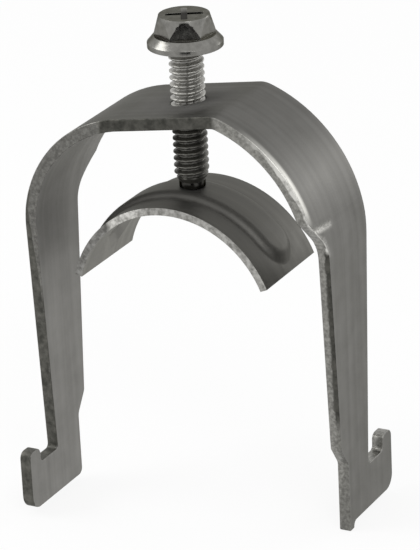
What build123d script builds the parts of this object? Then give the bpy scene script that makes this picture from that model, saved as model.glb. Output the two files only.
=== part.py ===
# Strut pipe clamp: a bent steel strap with two hooked feet, a screw through its top pad,
# and a curved saddle that the screw presses on the pipe. Millimetres, +Z up.
# The origin is midway between the feet, level with the lowest point of the clamp.
# The right leg stands at +X with its hook towards +Y, and the left leg is the right one
# turned half a turn about the screw.

import os
from math import cos, degrees, hypot, radians, sin, sqrt, tan

from build123d import *

# Strip that the strap is bent from
strap_thickness = 2.28
strap_width = 20.6

# Arch over the pipe
largest_pipe_diameter = 53.98
pipe_side_clearance = 0.43
leg_height = 54.0
arch_chord_angle = 51.965
pad_half_length = 10.3
pad_bend_radius = 4.5
pad_lean = 8.5

# Leg outline above the hook, heights from the underside of the foot
shoulder_top_height = 62.4
shoulder_drop = 5.8
shoulder_foot_edge = 5.5
shoulder_blend_radius = 8.0
hook_edge_start_height = 58.0
waist_height = 16.2
waist_edge = 3.15
waist_corner_radius = 1.0
neck_height = 12.4
neck_edge = 0.5
neck_blend_radius = 2.0

# Hook that catches the channel's lip
stem_edge = 7.9
notch_width = 6.2
notch_floor_height = 8.75
notch_corner_radius = 0.8
hook_width = 3.85
hook_tip_height = 11.8
hook_tip_radius = 1.4
heel_radius = 2.75
toe_radius = 1.3

# Parting tab left on the right foot where the strip was cut off
tab_drop = 1.3
tab_width = 1.7
tab_blend_radius = 1.0

# Clamping screw, a quarter inch across the thread and an inch long
screw_diameter = 6.35
screw_running_clearance = 0.05
screw_length = 25.4
screw_stand_off = 10.4
screw_end_taper = 1.6
screw_end_diameter = 4.8
hex_across_flats = 9.525
head_height = 5.8
head_turn = 28.65
crown_diameter = 9.2
crown_angle = 74.0
flange_diameter = 13.7
flange_rim_height = 0.9
flange_cone_height = 1.3
flange_cone_diameter = 11.4
recess_span = 6.8
recess_arm_width = 1.15
recess_depth = 2.6
recess_bottom_span = 2.4

# Swivel at the screw's end
swivel_neck_length = 1.15
swivel_pin_diameter = 4.0
swivel_pin_clearance = 0.08
swivel_play = 0.12
swivel_head_diameter = 5.6
swivel_head_rim = 0.4
swivel_head_dome = 0.7

# Saddle, with its hole punched off the middle, so that the left wing is the longer one
saddle_thickness = 1.4
saddle_width = 19.2
saddle_outer_radius = 20.8
left_wing_sweep = 75.2
right_wing_sweep = 67.3
bead_height = 1.1
bead_top_width = 6.8
bead_flank_angle = 40.0
bead_end_setback = 7.5
bead_shoulder_radius = 2.5
bead_foot_radius = 1.5
edge_tolerance = 0.001

# How far the shapes that cut the metal reach past it
cut_margin = 25.0

# Heights and edges that follow from the sizes above
foot_bottom = tab_drop
inner_half_width = largest_pipe_diameter / 2 + pipe_side_clearance
outer_half_width = inner_half_width + strap_thickness
springing_height = foot_bottom + leg_height
arch_rise = (outer_half_width - pad_half_length) * tan(radians(arch_chord_angle))
pad_top = springing_height + arch_rise
pad_slope = tan(radians(pad_lean))
hook_reach = stem_edge + notch_width + hook_width

flange_underside = pad_top + screw_stand_off
head_top = flange_underside + head_height
screw_end = flange_underside - screw_length
swivel_shoulder = screw_end - swivel_neck_length

bead_crest_z = swivel_shoulder - swivel_play
saddle_centre_z = bead_crest_z - bead_height - saddle_outer_radius
saddle_inner_radius = saddle_outer_radius - saddle_thickness
bead_hollow_radius = saddle_inner_radius + bead_height
bead_setback_angle = degrees(bead_end_setback / saddle_outer_radius)
bead_left_end_angle = left_wing_sweep - bead_setback_angle
bead_right_end_angle = right_wing_sweep - bead_setback_angle
swivel_head_seat = sqrt(bead_hollow_radius**2 - (swivel_head_diameter / 2) ** 2)
swivel_head_top = saddle_centre_z + swivel_head_seat - swivel_play

os.makedirs("parts", exist_ok=True)


# Strap: one blanked strip, bent over the pad and down both legs. The pad was bent a little
# out of level, with its left end low, while the screw stands square to the channel.
# Each leg is trimmed through a plane that faces outwards, with its x axis towards the hook.
right_leg = Plane(origin=(0, 0, 0), x_dir=(0, 1, 0), z_dir=(1, 0, 0))
left_leg = Plane(origin=(0, 0, 0), x_dir=(0, -1, 0), z_dir=(-1, 0, 0))


def pad_end(side):
    """Outer corner where the pad meets the arch, side being -1 for left and 1 for right."""
    return (side * pad_half_length, pad_top + side * pad_half_length * pad_slope)


def toe_corners(tab):
    """Corners at the back of the foot's underside: a round toe, or the parting tab."""
    if not tab:
        return [(-neck_edge, foot_bottom, toe_radius)]
    return [
        (-neck_edge, foot_bottom - tab_drop, 0),
        (-neck_edge + tab_width, foot_bottom - tab_drop, 0),
        (-neck_edge + tab_width, foot_bottom, tab_blend_radius),
    ]


def leg_outline(tab):
    """Draw the blank's outline on one side of the screw, from the pad down to the hook."""
    half_width = strap_width / 2
    hook_back = stem_edge + notch_width
    corners = [
        (half_width, pad_top + cut_margin, 0),
        (-half_width, pad_top + cut_margin, 0),
        (-half_width, foot_bottom + shoulder_top_height, 0),
        (-shoulder_foot_edge, foot_bottom + shoulder_top_height - shoulder_drop, shoulder_blend_radius),
        (-waist_edge, foot_bottom + waist_height, waist_corner_radius),
        (-neck_edge, foot_bottom + neck_height, neck_blend_radius),
        *toe_corners(tab),
        (hook_reach, foot_bottom, heel_radius),
        (hook_reach, foot_bottom + hook_tip_height, hook_tip_radius),
        (hook_back, foot_bottom + hook_tip_height, hook_tip_radius),
        (hook_back, foot_bottom + notch_floor_height, notch_corner_radius),
        (stem_edge, foot_bottom + notch_floor_height, notch_corner_radius),
        (half_width, foot_bottom + hook_edge_start_height, 0),
    ]
    points = [(y, z) for y, z, radius in corners]
    radii = [radius for y, z, radius in corners]
    FilletPolyline(*points, radius=radii, close=True)


with BuildPart() as strap:
    # Bent section, drawn along its outer face and thickened inwards
    with BuildSketch(Plane.XZ) as section:
        with BuildLine():
            Line((-outer_half_width, 0), (-outer_half_width, springing_height))
            TangentArc((-outer_half_width, springing_height), pad_end(-1), tangent=(0, 1))
            Line(pad_end(-1), pad_end(1))
            TangentArc((outer_half_width, springing_height), pad_end(1), tangent=(0, 1))
            Line((outer_half_width, springing_height), (outer_half_width, 0))
            offset(amount=strap_thickness, side=Side.RIGHT)
        make_face()
        for side in (-1, 1):
            outer_x, outer_z = pad_end(side)
            outer_corner = section.vertices().sort_by_distance((outer_x, outer_z))[0]
            fillet(outer_corner, pad_bend_radius)
            inner_corner = section.vertices().sort_by_distance((outer_x, outer_z - strap_thickness))[0]
            fillet(inner_corner, pad_bend_radius - strap_thickness)
    extrude(amount=hook_reach, both=True)

    # Everything outside the blank's outline is cut away, one side of the screw at a time
    for leg_plane, has_tab in ((right_leg, True), (left_leg, False)):
        with BuildSketch(leg_plane):
            Rectangle(2 * (hook_reach + cut_margin), 2 * (pad_top + cut_margin))
            with BuildLine():
                leg_outline(has_tab)
            make_face(mode=Mode.SUBTRACT)
        extrude(amount=outer_half_width + strap_thickness, mode=Mode.SUBTRACT)

    # Threaded hole for the screw
    Hole(screw_diameter / 2 + screw_running_clearance)
strap.part.label = "strap"


# Clamping screw: hex washer head with a cross recess, threaded shank, and a turned pin
# headed over below the saddle. One arm of the recess points at the middle of a flat.
head_plane = Plane(
    origin=(0, 0, flange_underside + flange_rim_height),
    x_dir=(cos(radians(head_turn)), sin(radians(head_turn)), 0),
    z_dir=(0, 0, 1),
)

with BuildPart() as clamp_screw:
    # Hex, with its corners drawn in towards the top by a steep cone
    with BuildSketch(head_plane):
        RegularPolygon(radius=hex_across_flats / 2, side_count=6, major_radius=False)
    extrude(amount=head_height - flange_rim_height)
    crown_radius = crown_diameter / 2
    crown_reach = flange_cone_diameter / 2
    crown_drop = (crown_reach - crown_radius) * tan(radians(crown_angle))
    with BuildSketch(Plane.XZ):
        with BuildLine():
            Polyline(
                (0, flange_underside),
                (crown_reach, flange_underside),
                (crown_reach, head_top - crown_drop),
                (crown_radius, head_top),
                (0, head_top),
                close=True,
            )
        make_face()
    revolve(axis=Axis.Z, mode=Mode.INTERSECT)

    # Flange, shank and swivel pin, turned about the screw's axis
    with BuildSketch(Plane.XZ):
        with BuildLine():
            turned = Polyline(
                (0, flange_underside + flange_rim_height + flange_cone_height),
                (flange_cone_diameter / 2, flange_underside + flange_rim_height + flange_cone_height),
                (flange_diameter / 2, flange_underside + flange_rim_height),
                (flange_diameter / 2, flange_underside),
                (screw_diameter / 2, flange_underside),
                (screw_diameter / 2, screw_end + screw_end_taper),
                (screw_end_diameter / 2, screw_end),
                (screw_end_diameter / 2, swivel_shoulder),
                (swivel_pin_diameter / 2, swivel_shoulder),
                (swivel_pin_diameter / 2, swivel_head_top),
                (swivel_head_diameter / 2, swivel_head_top),
                (swivel_head_diameter / 2, swivel_head_top - swivel_head_rim),
            )
            dome_bottom = (0, swivel_head_top - swivel_head_rim - swivel_head_dome)
            TangentArc(dome_bottom, turned @ 1, tangent=(1, 0))
            Line(dome_bottom, turned @ 0)
        make_face()
    revolve(axis=Axis.Z)

    # Cross recess: two crossed slots, kept inside a cone that narrows downwards
    with BuildSketch(head_plane.offset(head_height - flange_rim_height)) as cross:
        Rectangle(recess_span, recess_arm_width)
        Rectangle(recess_arm_width, recess_span)
    recess_arms = extrude(cross.sketch, amount=-recess_depth, mode=Mode.PRIVATE)
    recess_cone = Cone(
        recess_bottom_span / 2,
        recess_span / 2,
        recess_depth,
        align=(Align.CENTER, Align.CENTER, Align.MAX),
        mode=Mode.PRIVATE,
    )
    add(recess_arms & (Pos(0, 0, head_top) * recess_cone), mode=Mode.SUBTRACT)
clamp_screw.part.label = "clamp_screw"


# Saddle: a pressed strip bent to one arc about the pipe's direction. A raised bead runs
# along it under the screw, stiffens it and keeps the pin's head clear of the pipe.
def turned_about_pipe(angle):
    """Location on the saddle's axis, turned from straight up towards the right wing."""
    return Pos(0, 0, saddle_centre_z) * Rot(0, angle, 0)


def bead_body(inset):
    """Solid that raises the bead, or hollows it when it is drawn inset by the thickness."""
    crest_radius = saddle_outer_radius + bead_height - inset
    crest_half = bead_top_width / 2 - inset * tan(radians(bead_flank_angle / 2))
    depth = bead_height + 2 * saddle_thickness
    root_radius = crest_radius - depth
    root_half = crest_half + depth / tan(radians(bead_flank_angle))
    with BuildSketch(Plane.YZ) as section:
        with BuildLine():
            Polyline(
                (-root_half, root_radius),
                (root_half, root_radius),
                (crest_half, crest_radius),
                (-crest_half, crest_radius),
                close=True,
            )
        make_face()
    arc = bead_left_end_angle + bead_right_end_angle
    ridge = revolve(section.sketch, axis=Axis.Y, revolution_arc=arc, mode=Mode.PRIVATE)
    cone = Cone(root_half, crest_half, depth, mode=Mode.PRIVATE)
    round_end = Pos(0, 0, root_radius + depth / 2) * cone
    crest = Cylinder(crest_radius, saddle_width, rotation=(90, 0, 0), mode=Mode.PRIVATE)
    left_end = turned_about_pipe(-bead_left_end_angle)
    right_end = turned_about_pipe(bead_right_end_angle)
    body = left_end * ridge + left_end * round_end + right_end * round_end
    return body & (turned_about_pipe(0) * crest)


def bead_edges(radius):
    """Edges of the bead that lie at one distance from the saddle's axis."""
    found = ShapeList()
    for edge in saddle.edges():
        points = [edge @ 0, edge @ 0.3, edge @ 1]
        radii = [hypot(point.X, point.Z - saddle_centre_z) for point in points]
        at_radius = max(abs(each - radius) for each in radii) < edge_tolerance
        if at_radius and max(abs(point.Y) for point in points) < bead_top_width:
            found.append(edge)
    return found


with BuildPart() as saddle:
    # Bead first, then all that lies under the middle of the sheet is taken away
    add(bead_body(0))
    with Locations(turned_about_pipe(0)):
        Cylinder(
            saddle_outer_radius - saddle_thickness / 2,
            saddle_width + cut_margin,
            rotation=(90, 0, 0),
            mode=Mode.SUBTRACT,
        )

    # Sheet, bent to its section
    with BuildSketch(Plane.XZ):
        with BuildLine():
            CenterArc(
                (0, saddle_centre_z),
                saddle_outer_radius,
                90 + left_wing_sweep,
                -left_wing_sweep - right_wing_sweep,
            )
            offset(amount=saddle_thickness, side=Side.RIGHT)
        make_face()
    extrude(amount=saddle_width / 2, both=True)

    # Rounding where the bead's flanks meet its crest and the sheet
    fillet(bead_edges(saddle_outer_radius + bead_height), bead_shoulder_radius)
    fillet(bead_edges(saddle_outer_radius), bead_foot_radius)

    # Hollow side of the bead, and the pin's hole
    add(bead_body(saddle_thickness), mode=Mode.SUBTRACT)
    with Locations((0, 0, bead_crest_z)):
        Hole(swivel_pin_diameter / 2 + swivel_pin_clearance, depth=bead_height + saddle_thickness)
saddle.part.label = "saddle"

for piece in (strap, clamp_screw, saddle):
    export_step(piece.part, f"parts/{piece.part.label}.step")
    print(piece.part.label, piece.part.volume, piece.part.bounding_box(), len(piece.part.solids()))
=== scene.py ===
import bmesh
import bpy
import math
from mathutils import Matrix, Vector


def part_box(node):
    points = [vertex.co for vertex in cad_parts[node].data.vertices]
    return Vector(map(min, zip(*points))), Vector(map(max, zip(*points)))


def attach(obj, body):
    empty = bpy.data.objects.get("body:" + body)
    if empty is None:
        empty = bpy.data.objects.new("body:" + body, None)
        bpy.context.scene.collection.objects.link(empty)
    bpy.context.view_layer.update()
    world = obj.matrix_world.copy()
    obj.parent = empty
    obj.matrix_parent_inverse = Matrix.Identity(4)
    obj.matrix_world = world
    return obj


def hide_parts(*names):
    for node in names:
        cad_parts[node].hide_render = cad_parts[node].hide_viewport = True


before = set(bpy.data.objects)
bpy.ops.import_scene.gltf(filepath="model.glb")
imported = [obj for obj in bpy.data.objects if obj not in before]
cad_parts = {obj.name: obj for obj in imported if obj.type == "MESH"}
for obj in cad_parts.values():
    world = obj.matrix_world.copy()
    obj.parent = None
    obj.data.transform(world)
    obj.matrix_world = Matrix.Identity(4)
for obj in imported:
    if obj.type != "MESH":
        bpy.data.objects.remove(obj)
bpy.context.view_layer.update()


# Strap. One strip of cold-rolled steel, blanked to its outline, bent over the pad and down
# both legs, then zinc plated. The rolled faces have a soft sheen, and the sheared sides are
# half burnished by the punch and half torn, which leaves them dark and rough.
STRAP_EDGE = 0.00022
STRAP_BEND_ANGLE = math.radians(24)
SMOOTH_ANGLE = math.radians(30)
FLAT_ANGLE = math.radians(0.4)
SAME_POINT = 1e-6
EDGE_STEPS = 3
SIDE_NORMAL = 0.6
PAD_SIDE_NORMAL = 0.2
STRIP_FRONT = -0.0103
PAD_LEFT = -0.0125
PAD_RIGHT = 0.0098
PAD_FADE = 0.0010
SCUFF_RADIUS = 0.0056
SCUFF_FADE = 0.0040
ARCH_FOOT = 0.0560
ARCH_SIDE = 0.0720
RIM_START = 0.0148
RIM_FULL = 0.0228
RIM_WIDTH = 0.0015
SHOULDER_FOOT = 0.0565
SHOULDER_FOOT_FADE = 0.0010
SHOULDER_TOP = 0.0630
SHOULDER_TOP_FADE = 0.0030
FOOT_TOP = 0.0220
FOOT_FADE = 0.0020
WHOLE_TEAR = 0.0400
NO_TEAR = 0.0750
TEAR_LINE = (0.90, 1.10)
# Lines in y and z on the outside of the right shoulder
CREASES = (
    ((-0.0104, 0.0623), (-0.0030, 0.0617)),
    ((-0.0100, 0.0622), (-0.0066, 0.0597)),
    ((-0.0066, 0.0597), (-0.0054, 0.0568)),
)
CREASE_FROM = 0.0200
CREASE_DEPTH = 0.00032
CREASE_HALF_WIDTH = 0.00055
CREASE_MARGIN = 0.0012
CREASE_GRID = 0.00025


def eased_copy(node, name, edge, bend_angle):
    """Copy a CAD node's mesh, clear its flats of needless edges and round its sharp ones."""
    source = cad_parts[node]
    shape = bmesh.new()
    shape.from_mesh(source.data)
    bmesh.ops.remove_doubles(shape, verts=shape.verts, dist=SAME_POINT)
    bmesh.ops.dissolve_limit(
        shape, angle_limit=FLAT_ANGLE, verts=shape.verts, edges=shape.edges
    )
    mesh = bpy.data.meshes.new(name)
    shape.to_mesh(mesh)
    shape.free()
    piece = bpy.data.objects.new(name, mesh)
    bpy.context.scene.collection.objects.link(piece)
    rounding = piece.modifiers.new("edge", "BEVEL")
    rounding.width = edge
    rounding.segments = EDGE_STEPS
    rounding.limit_method = "ANGLE"
    rounding.angle_limit = bend_angle
    rounding.miter_outer = "MITER_ARC"
    return piece


def apply_modifiers(piece):
    """Turn a piece's modifiers into its mesh."""
    graph = bpy.context.evaluated_depsgraph_get()
    solid = bpy.data.meshes.new_from_object(piece.evaluated_get(graph))
    piece.modifiers.clear()
    piece.data = solid


def smooth_below(piece, angle):
    """Shade a piece smooth, but for edges sharper than the angle, and keep its flats flat."""
    piece.data.polygons.foreach_set("use_smooth", [True] * len(piece.data.polygons))
    shape = bmesh.new()
    shape.from_mesh(piece.data)
    for edge in shape.edges:
        if len(edge.link_faces) == 2 and edge.calc_face_angle() > angle:
            edge.smooth = False
    shape.to_mesh(piece.data)
    shape.free()
    flats = piece.modifiers.new("flats", "WEIGHTED_NORMAL")
    flats.keep_sharp = True
    apply_modifiers(piece)


def linear(code):
    """sRGB hex colour as linear RGBA."""
    channels = [int(code[i:i + 2], 16) / 255 for i in (0, 2, 4)]
    return [c / 12.92 if c <= 0.04045 else ((c + 0.055) / 1.055) ** 2.4 for c in channels] + [1.0]


def add_node(owner, kind, settings=None, links=None):
    """Add one node to a material or world, with its settings and the links into its sockets."""
    node = owner.node_tree.nodes.new(kind)
    for key, value in (settings or {}).items():
        if isinstance(key, str) and hasattr(node, key):
            setattr(node, key, value)
        else:
            node.inputs[key].default_value = value
    for key, source in (links or {}).items():
        owner.node_tree.links.new(source, node.inputs[key])
    return node


def new_material(name):
    """Empty node material and its output node."""
    material = bpy.data.materials.new(name)
    material.use_nodes = True
    material.node_tree.nodes.clear()
    return material, add_node(material, "ShaderNodeOutputMaterial")


def distance_from_screw(material, split):
    """Distance of each point from the screw's axis, from the separated place."""
    flat = add_node(
        material, "ShaderNodeCombineXYZ", {}, {"X": split.outputs["X"], "Y": split.outputs["Y"]}
    ).outputs["Vector"]
    return add_node(
        material, "ShaderNodeVectorMath", {"operation": "LENGTH"}, {0: flat}
    ).outputs["Value"]


def crease_share(across, height):
    """Share of the crease's depth at a place on the right shoulder, fading along each arm."""
    place = Vector((across, height))
    share = 0.0
    for start, end in CREASES:
        arm = Vector(end) - Vector(start)
        along = min(1.0, max(0.0, (place - Vector(start)).dot(arm) / arm.length_squared))
        aside = (place - Vector(start) - arm * along).length
        share = max(share, (1 - 0.5 * along) * math.exp(-((aside / CREASE_HALF_WIDTH) ** 2)))
    return share


def crease_shoulder(piece):
    """Press the creases into the right shoulder, where the strip buckled as it was bent."""
    low_y, high_y = CREASES[0][0][0], CREASES[0][1][0] + CREASE_MARGIN
    low_z, high_z = CREASES[2][1][1] - CREASE_MARGIN, CREASES[0][1][1] + CREASE_MARGIN
    shape = bmesh.new()
    shape.from_mesh(piece.data)
    layer = shape.verts.layers.float.new("crease")
    faces = [
        face for face in shape.faces
        if face.normal.x > 0.5 and abs(face.normal.y) < 0.1
        and face.calc_center_median().x > CREASE_FROM
        and max(v.co.z for v in face.verts) > low_z and min(v.co.z for v in face.verts) < high_z
    ]
    parts = set(faces)
    for face in faces:
        parts.update(face.edges)
        parts.update(face.verts)
    parts = list(parts)
    for axis, low, high in ((1, low_y, high_y), (2, low_z, high_z)):
        direction = Vector((0, 0, 0))
        direction[axis] = 1.0
        for step in range(int((high - low) / CREASE_GRID) + 1):
            point = direction * (low + step * CREASE_GRID)
            parts = bmesh.ops.bisect_plane(
                shape, geom=parts, plane_co=point, plane_no=direction, dist=SAME_POINT
            )["geom"]
    for vert in {v for part in parts if isinstance(part, bmesh.types.BMFace) for v in part.verts}:
        if low_y < vert.co.y < high_y and low_z < vert.co.z < high_z:
            share = crease_share(vert.co.y, vert.co.z)
            # The share is kept as the crease attribute, which also places the painted highlight
            vert[layer] = share
            vert.co.x -= CREASE_DEPTH * share
    shape.to_mesh(piece.data)
    shape.free()


def mark_sheet_depth(piece, middle):
    """Store each point's place through the sheet, from 0 on the inner face to 1 outside."""
    shape = bmesh.new()
    shape.from_mesh(piece.data)
    layer = shape.verts.layers.float.new("sheet_depth")
    unknown = []
    for vert in shape.verts:
        faces = [face for face in vert.link_faces if abs(face.normal.y) < SIDE_NORMAL]
        outside = [(face.calc_center_median() - middle).dot(face.normal) > 0 for face in faces]
        vert[layer] = sum(outside) / len(outside) if outside else 0.5
        vert.tag = not outside
        if vert.tag:
            unknown.append(vert)
    # The rounded edge has two more rings of points before the flat side, three at a corner
    for ring in range(EDGE_STEPS):
        found = []
        for vert in unknown:
            known = [edge for edge in vert.link_edges if not edge.other_vert(vert).tag]
            if known:
                shortest = min(known, key=lambda edge: edge.calc_length())
                found.append((vert, shortest.other_vert(vert)[layer]))
        for vert, depth in found:
            vert[layer] = depth
            vert.tag = False
        unknown = [vert for vert in unknown if vert.tag]
    shape.to_mesh(piece.data)
    shape.free()


def rolled_zinc():
    """Zinc plate on rolled strip: a soft grey sheen with faint streaks along the strip,
    cloudy patches a few millimetres wide, and a fine grain that breaks up reflections."""
    material, output = new_material("zinc_plated_rolled_steel")
    place = add_node(material, "ShaderNodeTexCoord").outputs["Object"]
    # Rolling streaks, really 0.2 mm apart, drawn 1.5 mm apart so that they show
    stretch = add_node(
        material, "ShaderNodeMapping", {"Scale": (12, 650, 12)}, {"Vector": place}
    ).outputs["Vector"]
    streaks = add_node(
        material, "ShaderNodeTexNoise",
        {"Scale": 1.0, "Detail": 2.0, "Roughness": 0.5}, {"Vector": stretch},
    ).outputs["Fac"]
    # Cloudy plating, patches of 5 mm
    cloud = add_node(
        material, "ShaderNodeTexNoise",
        {"Scale": 200.0, "Detail": 4.0, "Roughness": 0.55}, {"Vector": place},
    ).outputs["Fac"]
    # Plating grain, 0.35 mm
    grain = add_node(
        material, "ShaderNodeTexNoise",
        {"Scale": 2900.0, "Detail": 2.0, "Roughness": 0.5}, {"Vector": place},
    ).outputs["Fac"]
    tone = add_node(
        material, "ShaderNodeMix", {"data_type": "FLOAT", 0: 0.5}, {2: streaks, 3: cloud}
    ).outputs[0]
    ramp = add_node(material, "ShaderNodeValToRGB", {}, {"Fac": tone})
    ramp.color_ramp.elements[0].position = 0.32
    ramp.color_ramp.elements[0].color = linear("7D7C79")
    ramp.color_ramp.elements[1].position = 0.68
    ramp.color_ramp.elements[1].color = linear("8E8D8A")
    # Painted light and shade: the outside of the arch is painted darker and its inside paler,
    #     # and on the legs the inside is painted a little paler than the outside
    split = add_node(material, "ShaderNodeSeparateXYZ", {}, {"Vector": place})
    outside = add_node(
        material, "ShaderNodeAttribute", {"attribute_name": "sheet_depth"}
    ).outputs["Fac"]
    bent = add_node(
        material, "ShaderNodeMapRange",
        {"From Min": ARCH_FOOT, "From Max": ARCH_SIDE}, {"Value": split.outputs["Z"]},
    ).outputs["Result"]
    arch_light_tone = add_node(
        material, "ShaderNodeMapRange",
        {"To Min": 1.55, "To Max": 0.66}, {"Value": outside},
    ).outputs["Result"]
    leg_light_tone = add_node(
        material, "ShaderNodeMapRange",
        {"To Min": 1.18, "To Max": 0.90}, {"Value": outside},
    ).outputs["Result"]
    painted_light_tone = add_node(
        material, "ShaderNodeMix", {"data_type": "FLOAT"}, {0: bent, 2: leg_light_tone, 3: arch_light_tone}
    ).outputs[0]
    plated = add_node(
        material, "ShaderNodeVectorMath", {"operation": "SCALE"},
        {0: ramp.outputs["Color"], "Scale": painted_light_tone},
    ).outputs["Vector"]
    # Painted highlight in the creases of the shoulder, broken into specks as small as the grain
    crease = add_node(
        material, "ShaderNodeAttribute", {"attribute_name": "crease"}
    ).outputs["Fac"]
    crease_specks = add_node(
        material, "ShaderNodeMapRange",
        {"From Min": 0.40, "From Max": 0.56, "To Min": 0.35, "To Max": 1.0}, {"Value": grain},
    ).outputs["Result"]
    crease_highlight = add_node(
        material, "ShaderNodeMath", {"operation": "MULTIPLY"}, {0: crease, 1: crease_specks}
    ).outputs["Value"]
    colour = add_node(
        material, "ShaderNodeMix", {"data_type": "RGBA", 7: linear("CBCAC5")},
        {0: crease_highlight, 6: plated},
    ).outputs[2]
    # Painted highlight along the outer front rim of the right arch
    rim = add_node(
        material, "ShaderNodeMapRange",
        {"From Min": STRIP_FRONT + RIM_WIDTH / 2, "From Max": STRIP_FRONT + RIM_WIDTH,
         "To Min": 1.0, "To Max": 0.0},
        {"Value": split.outputs["Y"]},
    ).outputs["Result"]
    on_arch = add_node(
        material, "ShaderNodeMapRange",
        {"From Min": RIM_START, "From Max": RIM_FULL}, {"Value": split.outputs["X"]},
    ).outputs["Result"]
    above_shoulder = add_node(
        material, "ShaderNodeMapRange",
        {"From Min": SHOULDER_TOP, "From Max": SHOULDER_TOP + SHOULDER_TOP_FADE},
        {"Value": split.outputs["Z"]},
    ).outputs["Result"]
    rim_highlight = outside
    for share in (rim, on_arch, above_shoulder):
        rim_highlight = add_node(
            material, "ShaderNodeMath", {"operation": "MULTIPLY"}, {0: rim_highlight, 1: share}
        ).outputs["Value"]
    colour = add_node(
        material, "ShaderNodeMix", {"data_type": "RGBA", 7: linear("C4C3BE")},
        {0: rim_highlight, 6: colour},
    ).outputs[2]
    # The rolls and the press have rubbed the outside smoother than the inside
    plate_rough = add_node(
        material, "ShaderNodeMapRange",
        {"From Min": 0.3, "From Max": 0.7, "To Min": 0.42, "To Max": 0.50}, {"Value": cloud},
    ).outputs["Result"]
    worn_rough = add_node(
        material, "ShaderNodeMix", {"data_type": "FLOAT", 2: 0.66}, {0: outside, 3: plate_rough}
    ).outputs[0]
    # Round the screw the washer flange has scuffed the pad dull
    under_flange = add_node(
        material, "ShaderNodeMapRange",
        {"From Min": SCUFF_RADIUS, "From Max": SCUFF_RADIUS + SCUFF_FADE,
         "To Min": 1.0, "To Max": 0.0},
        {"Value": distance_from_screw(material, split)},
    ).outputs["Result"]
    scuffed = add_node(
        material, "ShaderNodeMath", {"operation": "MULTIPLY"}, {0: under_flange, 1: outside}
    ).outputs["Value"]
    rough = add_node(
        material, "ShaderNodeMix", {"data_type": "FLOAT", 3: 0.80}, {0: scuffed, 2: worn_rough}
    ).outputs[0]
    bump = add_node(
        material, "ShaderNodeBump", {"Strength": 0.18, "Distance": 0.00005}, {"Height": grain}
    ).outputs["Normal"]
    surface = add_node(
        material, "ShaderNodeBsdfPrincipled",
        {"Metallic": 1.0, "Specular Tint": linear("B4B4B0")},
        {"Base Color": colour, "Roughness": rough, "Normal": bump},
    ).outputs["BSDF"]
    material.node_tree.links.new(surface, output.inputs["Surface"])
    return material


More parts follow.
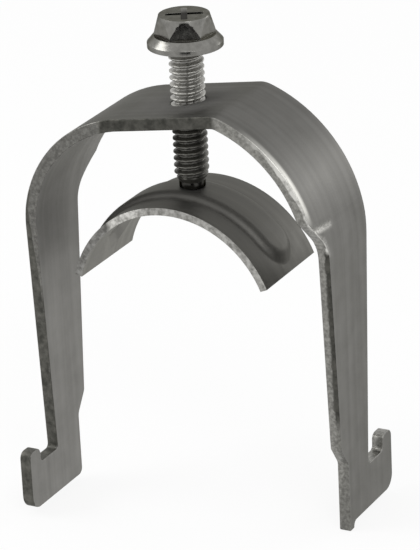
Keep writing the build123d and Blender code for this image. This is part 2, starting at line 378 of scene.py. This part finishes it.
def sheared_zinc():
    """Zinc over a sheared edge: the punch burnishes the half it meets first, which stays
    pale with a fine speckle, and the rest breaks away dark and ragged. Beside the pad the
    whole thickness is painted dark, as painted shade."""
    material, output = new_material("zinc_plated_sheared_edge")
    place = add_node(material, "ShaderNodeTexCoord").outputs["Object"]
    depth = add_node(
        material, "ShaderNodeAttribute", {"attribute_name": "sheet_depth"}
    ).outputs["Fac"]
    split = add_node(material, "ShaderNodeSeparateXYZ", {}, {"Vector": place})
    # Ragged line between the two zones, waves of 1.6 mm
    waves = add_node(
        material, "ShaderNodeTexNoise",
        {"Scale": 620.0, "Detail": 4.0, "Roughness": 0.65}, {"Vector": place},
    ).outputs["Fac"]
    # Speckle of the burnished half, 0.6 mm
    speckle = add_node(
        material, "ShaderNodeTexNoise",
        {"Scale": 1600.0, "Detail": 3.0, "Roughness": 0.6}, {"Vector": place},
    ).outputs["Fac"]
    # Between the pad's two bends the whole thickness is painted dark, as painted shade
    after_left = add_node(
        material, "ShaderNodeMapRange",
        {"From Min": PAD_LEFT - PAD_FADE, "From Max": PAD_LEFT}, {"Value": split.outputs["X"]},
    ).outputs["Result"]
    before_right = add_node(
        material, "ShaderNodeMapRange",
        {"From Min": PAD_RIGHT, "From Max": PAD_RIGHT + PAD_FADE, "To Min": 1.0, "To Max": 0.0},
        {"Value": split.outputs["X"]},
    ).outputs["Result"]
    on_pad = add_node(
        material, "ShaderNodeMath", {"operation": "MULTIPLY"}, {0: after_left, 1: before_right}
    ).outputs["Value"]
    shifted = add_node(
        material, "ShaderNodeMath", {"operation": "MULTIPLY_ADD", 1: 0.8}, {0: waves, 2: depth}
    ).outputs["Value"]
    # The foot is cut by a tighter die and tears little
    tearing = add_node(
        material, "ShaderNodeMapRange",
        {"From Min": FOOT_TOP, "From Max": FOOT_TOP + FOOT_FADE, "To Min": 0.35, "To Max": 1.0},
        {"Value": split.outputs["Z"]},
    ).outputs["Result"]
    torn_side = add_node(
        material, "ShaderNodeMapRange", {"From Min": TEAR_LINE[0], "From Max": TEAR_LINE[1]},
        {"Value": shifted, "To Max": tearing},
    ).outputs["Result"]
    below_shoulder = add_node(
        material, "ShaderNodeMapRange",
        {"From Min": SHOULDER_FOOT, "From Max": SHOULDER_FOOT + SHOULDER_FOOT_FADE,
         "To Min": 1.0, "To Max": 0.0},
        {"Value": split.outputs["Z"]},
    ).outputs["Result"]
    torn_right = add_node(
        material, "ShaderNodeMath", {"operation": "MULTIPLY"}, {0: torn_side, 1: below_shoulder}
    ).outputs["Value"]
    # Down the left leg the tear widens from nothing on the arch to the whole thickness
    widening = add_node(
        material, "ShaderNodeMapRange",
        {"From Min": WHOLE_TEAR, "From Max": NO_TEAR, "To Min": 0.75, "To Max": -0.9},
        {"Value": split.outputs["Z"]},
    ).outputs["Result"]
    widened = add_node(
        material, "ShaderNodeMath", {"operation": "ADD"}, {0: shifted, 1: widening}
    ).outputs["Value"]
    torn_left = add_node(
        material, "ShaderNodeMapRange", {"From Min": TEAR_LINE[0], "From Max": TEAR_LINE[1]},
        {"Value": widened},
    ).outputs["Result"]
    on_right = add_node(
        material, "ShaderNodeMath", {"operation": "GREATER_THAN", 1: 0.0}, {0: split.outputs["X"]}
    ).outputs["Value"]
    torn_leg = add_node(
        material, "ShaderNodeMix", {"data_type": "FLOAT"},
        {0: on_right, 2: torn_left, 3: torn_right},
    ).outputs[0]
    torn_and_pad_shade = add_node(
        material, "ShaderNodeMath", {"operation": "MAXIMUM"}, {0: torn_leg, 1: on_pad}
    ).outputs["Value"]
    burnished = add_node(material, "ShaderNodeValToRGB", {}, {"Fac": speckle})
    burnished.color_ramp.elements[0].position = 0.36
    burnished.color_ramp.elements[0].color = linear("72716D")
    burnished.color_ramp.elements[1].position = 0.66
    burnished.color_ramp.elements[1].color = linear("989792")
    torn_tone = add_node(material, "ShaderNodeValToRGB", {}, {"Fac": waves})
    torn_tone.color_ramp.elements[0].position = 0.35
    torn_tone.color_ramp.elements[0].color = linear("40403C")
    torn_tone.color_ramp.elements[1].position = 0.65
    torn_tone.color_ramp.elements[1].color = linear("605F5A")
    sheared = add_node(
        material, "ShaderNodeMix", {"data_type": "RGBA"},
        {0: torn_and_pad_shade, 6: burnished.outputs["Color"], 7: torn_tone.outputs["Color"]},
    ).outputs[2]
    # The left side was sheared by a duller punch, which burnishes and tears it less
    left_tone = add_node(
        material, "ShaderNodeMapRange",
        {"To Min": 0.66, "To Max": 1.35}, {"Value": torn_and_pad_shade},
    ).outputs["Result"]
    off_left = add_node(
        material, "ShaderNodeMath", {"operation": "MAXIMUM"}, {0: on_right, 1: on_pad}
    ).outputs["Value"]
    side_tone = add_node(
        material, "ShaderNodeMix", {"data_type": "FLOAT", 3: 1.0}, {0: off_left, 2: left_tone}
    ).outputs[0]
    sheared = add_node(
        material, "ShaderNodeVectorMath", {"operation": "SCALE"}, {0: sheared, "Scale": side_tone}
    ).outputs["Vector"]
    # The sheared side's part of the painted highlight along the right arch's rim
    rim = add_node(
        material, "ShaderNodeMapRange",
        {"From Min": 1.20, "From Max": 1.42}, {"Value": shifted},
    ).outputs["Result"]
    on_arch = add_node(
        material, "ShaderNodeMapRange",
        {"From Min": RIM_START, "From Max": RIM_FULL}, {"Value": split.outputs["X"]},
    ).outputs["Result"]
    above_shoulder = add_node(
        material, "ShaderNodeMath", {"operation": "SUBTRACT", 0: 1.0}, {1: below_shoulder}
    ).outputs["Value"]
    rim_highlight = rim
    for share in (on_arch, above_shoulder):
        rim_highlight = add_node(
            material, "ShaderNodeMath", {"operation": "MULTIPLY"}, {0: rim_highlight, 1: share}
        ).outputs["Value"]
    colour = add_node(
        material, "ShaderNodeMix", {"data_type": "RGBA", 7: linear("D2D1CC")},
        {0: rim_highlight, 6: sheared},
    ).outputs[2]
    rough = add_node(
        material, "ShaderNodeMapRange",
        {"To Min": 0.38, "To Max": 0.62}, {"Value": torn_and_pad_shade},
    ).outputs["Result"]
    bump = add_node(
        material, "ShaderNodeBump", {"Strength": 0.5, "Distance": 0.00008}, {"Height": speckle}
    ).outputs["Normal"]
    surface = add_node(
        material, "ShaderNodeBsdfPrincipled", {"Metallic": 1.0},
        {"Base Color": colour, "Roughness": rough, "Normal": bump},
    ).outputs["BSDF"]
    material.node_tree.links.new(surface, output.inputs["Surface"])
    return material


strap = eased_copy("strap", "strap_plated", STRAP_EDGE, STRAP_BEND_ANGLE)
apply_modifiers(strap)
crease_shoulder(strap)
strap_low, strap_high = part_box("strap")
pipe_middle = Vector((0, 0, (strap_low.z + strap_high.z) / 2))
mark_sheet_depth(strap, pipe_middle)
smooth_below(strap, SMOOTH_ANGLE)
strap.data.materials.clear()
strap.data.materials.append(rolled_zinc())
strap.data.materials.append(sheared_zinc())
# Below the saddle the strap is all leg, and beside the pad the rounded edge takes the
# # sheared material too, which paints it dark as shade
leg_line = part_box("saddle")[0].z
for face in strap.data.polygons:
    beside_pad = PAD_LEFT < face.center.x < PAD_RIGHT and face.center.z > leg_line
    on_side = abs(face.normal.y) > (PAD_SIDE_NORMAL if beside_pad else SIDE_NORMAL)
    on_leg_end = face.center.z < leg_line and abs(face.normal.x) < 0.4
    face.material_index = 1 if on_side or on_leg_end else 0
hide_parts("strap")
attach(strap, "strap")


# Clamping screw. Cold-headed steel, a quarter inch across with twenty threads to the inch.
# Its tapered hex head has a cross recess, painted dark inside as shade, and stands on a washer
# # flange. The thread is rolled and the zinc is thin, painted bright above the pad and painted
# # darker below it, as the pad's shade.
HEAD_HEIGHT = 0.0058
PAD_TOP = 0.0801
THREAD_LENGTH = 0.0254
THREAD_RADIUS = 0.003175
THREAD_PITCH = 0.00127
THREAD_DEPTH = 0.00072
THREAD_END_RADIUS = 0.0024
THREAD_TAPER = 0.0016
THREAD_ROOT_SHARE = 0.20
THREAD_FLANK_SHARE = 0.62
THREAD_STEPS = 12
THREAD_SIDES = 72
SHANK_MARGIN = 0.00001
THREAD_SMOOTH_ANGLE = math.radians(50)
SCREW_EDGE = 0.00014
SCREW_BEND_ANGLE = math.radians(28)
RECESS_RADIUS = 0.0036
RECESS_SHADE_TOP = 0.0001
RECESS_SHADE_BOTTOM = 0.0008
head_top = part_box("clamp_screw")[1].z
flange_underside = head_top - HEAD_HEIGHT
thread_bottom = flange_underside - THREAD_LENGTH


def thread_height(turns):
    """Share of the thread's depth at a place along one pitch, crest 1 and root 0."""
    place = abs((turns % 1.0) - 0.5) * 2
    return min(1.0, max(0.0, (place - THREAD_ROOT_SHARE) / THREAD_FLANK_SHARE))


def rolled_thread(name):
    """Closed mesh of a right-hand thread, tapered at its lower end."""
    shape = bmesh.new()
    rows = int(THREAD_LENGTH / THREAD_PITCH * THREAD_STEPS)
    rings = []
    for row in range(rows + 1):
        height = thread_bottom + THREAD_LENGTH * row / rows
        limit = THREAD_RADIUS
        if height < thread_bottom + THREAD_TAPER:
            share = (height - thread_bottom) / THREAD_TAPER
            limit = THREAD_END_RADIUS + (THREAD_RADIUS - THREAD_END_RADIUS) * share
        ring = []
        for side in range(THREAD_SIDES):
            turn = side / THREAD_SIDES
            crest = thread_height(height / THREAD_PITCH - turn)
            radius = min(limit, THREAD_RADIUS - THREAD_DEPTH * (1 - crest))
            angle = 2 * math.pi * turn
            place = (radius * math.cos(angle), radius * math.sin(angle), height)
            ring.append(shape.verts.new(place))
        rings.append(ring)
    for lower, upper in zip(rings, rings[1:]):
        for side in range(THREAD_SIDES):
            after = (side + 1) % THREAD_SIDES
            shape.faces.new((lower[side], lower[after], upper[after], upper[side]))
    shape.faces.new(list(reversed(rings[0])))
    shape.faces.new(rings[-1])
    mesh = bpy.data.meshes.new(name)
    shape.to_mesh(mesh)
    shape.free()
    piece = bpy.data.objects.new(name, mesh)
    bpy.context.scene.collection.objects.link(piece)
    return piece


def open_shank(piece):
    """Take the plain shank off the copied screw and close the head and the pin again."""
    shape = bmesh.new()
    shape.from_mesh(piece.data)
    shank = [
        face for face in shape.faces
        if abs(face.normal.z) < 0.9
        and min(v.co.z for v in face.verts) > thread_bottom - SHANK_MARGIN
        and max(v.co.z for v in face.verts) < flange_underside + SHANK_MARGIN
    ]
    bmesh.ops.delete(shape, geom=shank, context="FACES")
    rims = [edge for edge in shape.edges if edge.is_boundary]
    bmesh.ops.holes_fill(shape, edges=rims, sides=0)
    shape.to_mesh(piece.data)
    shape.free()


def headed_zinc():
    """Zinc plate on a cold-headed screw head: smooth die-formed faces that mirror dark and
    light, with small handling marks, and painted shade in the recess."""
    material, output = new_material("zinc_plated_headed_steel")
    place = add_node(material, "ShaderNodeTexCoord").outputs["Object"]
    # Handling marks, 1.2 mm
    marks = add_node(
        material, "ShaderNodeTexNoise",
        {"Scale": 800.0, "Detail": 4.0, "Roughness": 0.6}, {"Vector": place},
    ).outputs["Fac"]
    plate = add_node(material, "ShaderNodeValToRGB", {}, {"Fac": marks})
    plate.color_ramp.elements[0].position = 0.3
    plate.color_ramp.elements[0].color = linear("73726E")
    plate.color_ramp.elements[1].position = 0.7
    plate.color_ramp.elements[1].color = linear("888783")
    # Painted shade in the recess, darker with depth
    split = add_node(material, "ShaderNodeSeparateXYZ", {}, {"Vector": place})
    near_axis = add_node(
        material, "ShaderNodeMath", {"operation": "LESS_THAN", 1: RECESS_RADIUS},
        {0: distance_from_screw(material, split)},
    ).outputs["Value"]
    sunk = add_node(
        material, "ShaderNodeMapRange",
        {"From Min": head_top - RECESS_SHADE_BOTTOM, "From Max": head_top - RECESS_SHADE_TOP,
         "To Min": 0.85, "To Max": 0.0},
        {"Value": split.outputs["Z"]},
    ).outputs["Result"]
    recess_shade = add_node(
        material, "ShaderNodeMath", {"operation": "MULTIPLY"}, {0: near_axis, 1: sunk}
    ).outputs["Value"]
    colour = add_node(
        material, "ShaderNodeMix", {"data_type": "RGBA", 7: linear("1E1D1B")},
        {0: recess_shade, 6: plate.outputs["Color"]},
    ).outputs[2]
    rough = add_node(
        material, "ShaderNodeMapRange",
        {"From Min": 0.3, "From Max": 0.7, "To Min": 0.18, "To Max": 0.26}, {"Value": marks},
    ).outputs["Result"]
    bump = add_node(
        material, "ShaderNodeBump", {"Strength": 0.2, "Distance": 0.00006}, {"Height": marks}
    ).outputs["Normal"]
    surface = add_node(
        material, "ShaderNodeBsdfPrincipled",
        {"Metallic": 1.0, "Specular Tint": linear("A0A09C")},
        {"Base Color": colour, "Roughness": rough, "Normal": bump},
    ).outputs["BSDF"]
    material.node_tree.links.new(surface, output.inputs["Surface"])
    return material


def threaded_zinc():
    """Zinc plate on a rolled thread: painted bright above the pad and painted darker on the
    lower turns, as the pad's shade. The roots are painted a little darker, as shade."""
    material, output = new_material("zinc_plated_rolled_thread")
    place = add_node(material, "ShaderNodeTexCoord").outputs["Object"]
    split = add_node(material, "ShaderNodeSeparateXYZ", {}, {"Vector": place})
    crest = add_node(
        material, "ShaderNodeMapRange",
        {"From Min": THREAD_RADIUS - THREAD_DEPTH, "From Max": THREAD_RADIUS},
        {"Value": distance_from_screw(material, split)},
    ).outputs["Result"]
    above_pad = add_node(
        material, "ShaderNodeMapRange",
        {"From Min": PAD_TOP - THREAD_PITCH, "From Max": PAD_TOP}, {"Value": split.outputs["Z"]},
    ).outputs["Result"]
    # Rolling marks, 0.5 mm
    marks = add_node(
        material, "ShaderNodeTexNoise",
        {"Scale": 2000.0, "Detail": 3.0, "Roughness": 0.6}, {"Vector": place},
    ).outputs["Fac"]
    # Painted shade: the roots a little darker, and the turns below the pad much darker, as the
    # pad's shade
    bright = add_node(
        material, "ShaderNodeMix", {"data_type": "RGBA", 6: linear("9C9B97"), 7: linear("A8A7A2")},
        {0: crest},
    ).outputs[2]
    shaded_below_pad = add_node(
        material, "ShaderNodeMix", {"data_type": "RGBA", 6: linear("62615D"), 7: linear("73726D")},
        {0: crest},
    ).outputs[2]
    colour = add_node(
        material, "ShaderNodeMix", {"data_type": "RGBA"}, {0: above_pad, 6: shaded_below_pad, 7: bright}
    ).outputs[2]
    rough = add_node(
        material, "ShaderNodeMapRange",
        {"From Min": 0.3, "From Max": 0.7, "To Min": 0.40, "To Max": 0.50}, {"Value": marks},
    ).outputs["Result"]
    surface = add_node(
        material, "ShaderNodeBsdfPrincipled", {"Metallic": 1.0},
        {"Base Color": colour, "Roughness": rough},
    ).outputs["BSDF"]
    material.node_tree.links.new(surface, output.inputs["Surface"])
    return material


screw = eased_copy("clamp_screw", "screw_plated", SCREW_EDGE, SCREW_BEND_ANGLE)
open_shank(screw)
apply_modifiers(screw)
smooth_below(screw, SMOOTH_ANGLE)
screw.data.materials.clear()
screw.data.materials.append(headed_zinc())
thread = rolled_thread("screw_thread")
smooth_below(thread, THREAD_SMOOTH_ANGLE)
thread.data.materials.append(threaded_zinc())
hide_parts("clamp_screw")
for piece in (screw, thread):
    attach(piece, "clamp_screw")


# Saddle. Steel strip pressed to an arch with one raised bead along it, and zinc plated. Its
# edges are coined round, and it is pinned loosely under the screw and lies on the pipe.
SADDLE_EDGE = 0.00042
SADDLE_BEND_ANGLE = math.radians(60)
PIPE_AXIS_DROP = 0.0050
SHADED_EDGE_END = -0.0130
EDGE_HIGHLIGHT_START = -0.0120
EDGE_HIGHLIGHT_END = -0.0065
PLAIN_EDGE_START = -0.0045


def pressed_zinc():
    """Zinc plate on a pressed curve: the strip's streaks are stretched and blurred by the
    press, so the sheen is broader and a little darker."""
    material, output = new_material("zinc_plated_pressed_steel")
    place = add_node(material, "ShaderNodeTexCoord").outputs["Object"]
    # Drawing marks, really 0.3 mm apart, drawn 1.4 mm apart across the saddle
    stretch = add_node(
        material, "ShaderNodeMapping", {"Scale": (40, 700, 40)}, {"Vector": place}
    ).outputs["Vector"]
    marks = add_node(
        material, "ShaderNodeTexNoise",
        {"Scale": 1.0, "Detail": 2.0, "Roughness": 0.5}, {"Vector": stretch},
    ).outputs["Fac"]
    # Cloudy plating, patches of 3 mm
    cloud = add_node(
        material, "ShaderNodeTexNoise",
        {"Scale": 330.0, "Detail": 4.0, "Roughness": 0.6}, {"Vector": place},
    ).outputs["Fac"]
    tone = add_node(
        material, "ShaderNodeMix", {"data_type": "FLOAT", 0: 0.5}, {2: marks, 3: cloud}
    ).outputs[0]
    ramp = add_node(material, "ShaderNodeValToRGB", {}, {"Fac": tone})
    ramp.color_ramp.elements[0].position = 0.3
    ramp.color_ramp.elements[0].color = linear("646360")
    ramp.color_ramp.elements[1].position = 0.7
    ramp.color_ramp.elements[1].color = linear("757470")
    # The hollow underside is painted paler, as painted light
    outside = add_node(
        material, "ShaderNodeAttribute", {"attribute_name": "sheet_depth"}
    ).outputs["Fac"]
    side_tone = add_node(
        material, "ShaderNodeMapRange",
        {"To Min": 1.75, "To Max": 1.0}, {"Value": outside},
    ).outputs["Result"]
    colour = add_node(
        material, "ShaderNodeVectorMath", {"operation": "SCALE"},
        {0: ramp.outputs["Color"], "Scale": side_tone},
    ).outputs["Vector"]
    rough = add_node(
        material, "ShaderNodeMapRange",
        {"From Min": 0.3, "From Max": 0.7, "To Min": 0.50, "To Max": 0.60}, {"Value": cloud},
    ).outputs["Result"]
    bump = add_node(
        material, "ShaderNodeBump", {"Strength": 0.2, "Distance": 0.00006}, {"Height": tone}
    ).outputs["Normal"]
    surface = add_node(
        material, "ShaderNodeBsdfPrincipled",
        {"Metallic": 1.0, "Specular Tint": linear("D0D0CC")},
        {"Base Color": colour, "Roughness": rough, "Normal": bump},
    ).outputs["BSDF"]
    material.node_tree.links.new(surface, output.inputs["Surface"])
    return material


def coined_zinc():
    """Zinc plate on a coined edge: rounded and rubbed bright, with small darker nicks, and
    painted shade and a painted highlight along the left side's edge.
    """
    material, output = new_material("zinc_plated_coined_edge")
    place = add_node(material, "ShaderNodeTexCoord").outputs["Object"]
    # Nicks, 0.8 mm
    nicks = add_node(
        material, "ShaderNodeTexNoise",
        {"Scale": 1200.0, "Detail": 3.0, "Roughness": 0.6}, {"Vector": place},
    ).outputs["Fac"]
    ramp = add_node(material, "ShaderNodeValToRGB", {}, {"Fac": nicks})
    ramp.color_ramp.elements[0].position = 0.34
    ramp.color_ramp.elements[0].color = linear("7A7975")
    ramp.color_ramp.elements[1].position = 0.62
    ramp.color_ramp.elements[1].color = linear("B0AFAB")
    # Painted light on the left wing's edge: painted shade at its end, and a painted highlight
    #     # between there and the top
    across = add_node(material, "ShaderNodeSeparateXYZ", {}, {"Vector": place}).outputs["X"]
    wing = add_node(
        material, "ShaderNodeMapRange",
        {"From Min": SHADED_EDGE_END, "From Max": EDGE_HIGHLIGHT_START, "To Min": 0.62, "To Max": 1.55},
        {"Value": across},
    ).outputs["Result"]
    past_highlight = add_node(
        material, "ShaderNodeMapRange",
        {"From Min": EDGE_HIGHLIGHT_END, "From Max": PLAIN_EDGE_START}, {"Value": across},
    ).outputs["Result"]
    edge_tone = add_node(
        material, "ShaderNodeMix", {"data_type": "FLOAT", 3: 1.0}, {0: past_highlight, 2: wing}
    ).outputs[0]
    colour = add_node(
        material, "ShaderNodeVectorMath", {"operation": "SCALE"},
        {0: ramp.outputs["Color"], "Scale": edge_tone},
    ).outputs["Vector"]
    bump = add_node(
        material, "ShaderNodeBump", {"Strength": 0.35, "Distance": 0.00006}, {"Height": nicks}
    ).outputs["Normal"]
    surface = add_node(
        material, "ShaderNodeBsdfPrincipled", {"Metallic": 1.0, "Roughness": 0.34},
        {"Base Color": colour, "Normal": bump},
    ).outputs["BSDF"]
    material.node_tree.links.new(surface, output.inputs["Surface"])
    return material


saddle = eased_copy("saddle", "saddle_plated", SADDLE_EDGE, SADDLE_BEND_ANGLE)
apply_modifiers(saddle)
saddle_low, saddle_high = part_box("saddle")
mark_sheet_depth(saddle, Vector((0, 0, saddle_low.z - PIPE_AXIS_DROP)))
smooth_below(saddle, SMOOTH_ANGLE)
saddle.data.materials.clear()
saddle.data.materials.append(pressed_zinc())
saddle.data.materials.append(coined_zinc())
coined_from = saddle_high.y - SADDLE_EDGE * 1.5
for face in saddle.data.polygons:
    on_side = abs(face.normal.y) > 0.3 and abs(face.center.y) > coined_from
    face.material_index = 1 if on_side else 0
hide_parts("saddle")
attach(saddle, "saddle")


# Studio. A white paper floor under a white sky, two soft lamps in front, one behind, and a
# black card in front of the clamp, which gives the bright metal something dark to mirror.
FLOOR_SIZE = 6.0
FLOOR_DROP = 0.00002
FLOOR_WHITE = 0.86
SKY_STRENGTH = 0.75
CARD_SIZE = 0.11
CARD_PLACE = (27, 5, 0.20)
# Name, azimuth, elevation, distance, width, height and power
LAMPS = (
    ("left_lamp", -64, 38, 0.7, 0.40, 0.30, 1.7),
    ("right_lamp", 46, 42, 0.7, 0.24, 0.24, 0.8),
    ("back_lamp", 148, 15, 0.8, 0.20, 0.26, 0.62),
)


def seen_directly(owner):
    """1 for what the camera sees itself, or by way of metal or glass, and 0 for the rest."""
    rays = add_node(owner, "ShaderNodeLightPath")
    mirrored = add_node(
        owner, "ShaderNodeMath", {"operation": "MAXIMUM"},
        {0: rays.outputs["Is Camera Ray"], 1: rays.outputs["Is Glossy Ray"]},
    ).outputs["Value"]
    return add_node(
        owner, "ShaderNodeMath", {"operation": "MAXIMUM"},
        {0: mirrored, 1: rays.outputs["Is Transmission Ray"]},
    ).outputs["Value"]


def white_paper():
    """White paper floor: seen by the camera and in the metal it is nearly plain white, and
    it still takes the clamp's soft shadow."""
    material, output = new_material("white_paper")
    share = add_node(
        material, "ShaderNodeMath", {"operation": "MULTIPLY", 1: FLOOR_WHITE},
        {0: seen_directly(material)},
    ).outputs["Value"]
    paper = add_node(material, "ShaderNodeBsdfDiffuse", {"Color": linear("F4F4F4")}).outputs["BSDF"]
    white = add_node(
        material, "ShaderNodeEmission", {"Color": linear("FFFFFF")}
    ).outputs["Emission"]
    blend = add_node(material, "ShaderNodeMixShader", {}, {0: share, 1: paper, 2: white})
    material.node_tree.links.new(blend.outputs["Shader"], output.inputs["Surface"])
    return material


def black_card():
    """Matt black card, the flag that a studio sets in front of bright metal."""
    material, output = new_material("black_card")
    card = add_node(material, "ShaderNodeBsdfDiffuse", {"Color": linear("161616")}).outputs["BSDF"]
    material.node_tree.links.new(card, output.inputs["Surface"])
    return material


bpy.ops.mesh.primitive_plane_add(size=FLOOR_SIZE, location=(0, 0, -FLOOR_DROP))
floor = bpy.context.object
floor.name = "floor"
floor.data.materials.append(white_paper())

world = bpy.data.worlds.new("studio")
bpy.context.scene.world = world
world.use_nodes = True
world.node_tree.nodes.clear()
world_output = add_node(world, "ShaderNodeOutputWorld")
sky = add_node(world, "ShaderNodeBackground", {"Color": linear("FFFFFF"), "Strength": SKY_STRENGTH})
backdrop = add_node(world, "ShaderNodeBackground", {"Color": linear("FFFFFF"), "Strength": 1.0})
choice = add_node(
    world, "ShaderNodeMixShader", {},
    {0: seen_directly(world), 1: sky.outputs["Background"], 2: backdrop.outputs["Background"]},
)
world.node_tree.links.new(choice.outputs["Shader"], world_output.inputs["Surface"])


def from_middle(azimuth, elevation, distance):
    """Point in a direction from the clamp's middle, azimuth from the front to the right."""
    azimuth, elevation = math.radians(azimuth), math.radians(elevation)
    return pipe_middle + distance * Vector((
        math.sin(azimuth) * math.cos(elevation),
        -math.cos(azimuth) * math.cos(elevation),
        math.sin(elevation),
    ))


def facing_middle(place):
    """Rotation that turns an object's back to a place and its front to the clamp."""
    return (pipe_middle - place).to_track_quat("-Z", "Y").to_euler()


def soft_lamp(name, place, width, height, power):
    """Rectangular softbox turned to the clamp."""
    data = bpy.data.lights.new(name, "AREA")
    data.shape = "RECTANGLE"
    data.size = width
    data.size_y = height
    data.energy = power
    lamp = bpy.data.objects.new(name, data)
    bpy.context.scene.collection.objects.link(lamp)
    lamp.location = place
    lamp.rotation_euler = facing_middle(place)
    lamp.visible_camera = False


for name, azimuth, elevation, distance, width, height, power in LAMPS:
    soft_lamp(name, from_middle(azimuth, elevation, distance), width, height, power)

card_place = from_middle(*CARD_PLACE)
bpy.ops.mesh.primitive_plane_add(
    size=CARD_SIZE, location=card_place, rotation=facing_middle(card_place)
)
card = bpy.context.object
card.name = "card"
card.data.materials.append(black_card())
card.visible_camera = False
card.visible_diffuse = False
card.visible_shadow = False


# Camera. A long lens from the right of the pipe's line, a little tilted, looking down on the
# pad. Its place was fitted to the photograph.
VIEW_AZIMUTH = math.radians(28.65)
VIEW_ELEVATION = math.radians(22.21)
VIEW_ROLL = math.radians(2.84)
VIEW_DISTANCE = 0.6072
VIEW_LENS = 217.9
SENSOR_WIDTH = 36
VIEW_CENTRE = Vector((0.00205, 0.00109, 0.04623))

back = Vector((
    math.sin(VIEW_AZIMUTH) * math.cos(VIEW_ELEVATION),
    -math.cos(VIEW_AZIMUTH) * math.cos(VIEW_ELEVATION),
    math.sin(VIEW_ELEVATION),
))
level = Vector((math.cos(VIEW_AZIMUTH), math.sin(VIEW_AZIMUTH), 0))
upright = back.cross(level)
right = math.cos(VIEW_ROLL) * level - math.sin(VIEW_ROLL) * upright
up = math.sin(VIEW_ROLL) * level + math.cos(VIEW_ROLL) * upright
lens = bpy.data.cameras.new("camera")
lens.lens = VIEW_LENS
lens.sensor_width = SENSOR_WIDTH
camera = bpy.data.objects.new("camera", lens)
bpy.context.scene.collection.objects.link(camera)
turn = Matrix((right, up, back)).transposed().to_4x4()
camera.matrix_world = Matrix.Translation(VIEW_CENTRE + back * VIEW_DISTANCE) @ turn
bpy.context.scene.camera = camera
bpy.context.scene.view_settings.view_transform = "Standard"
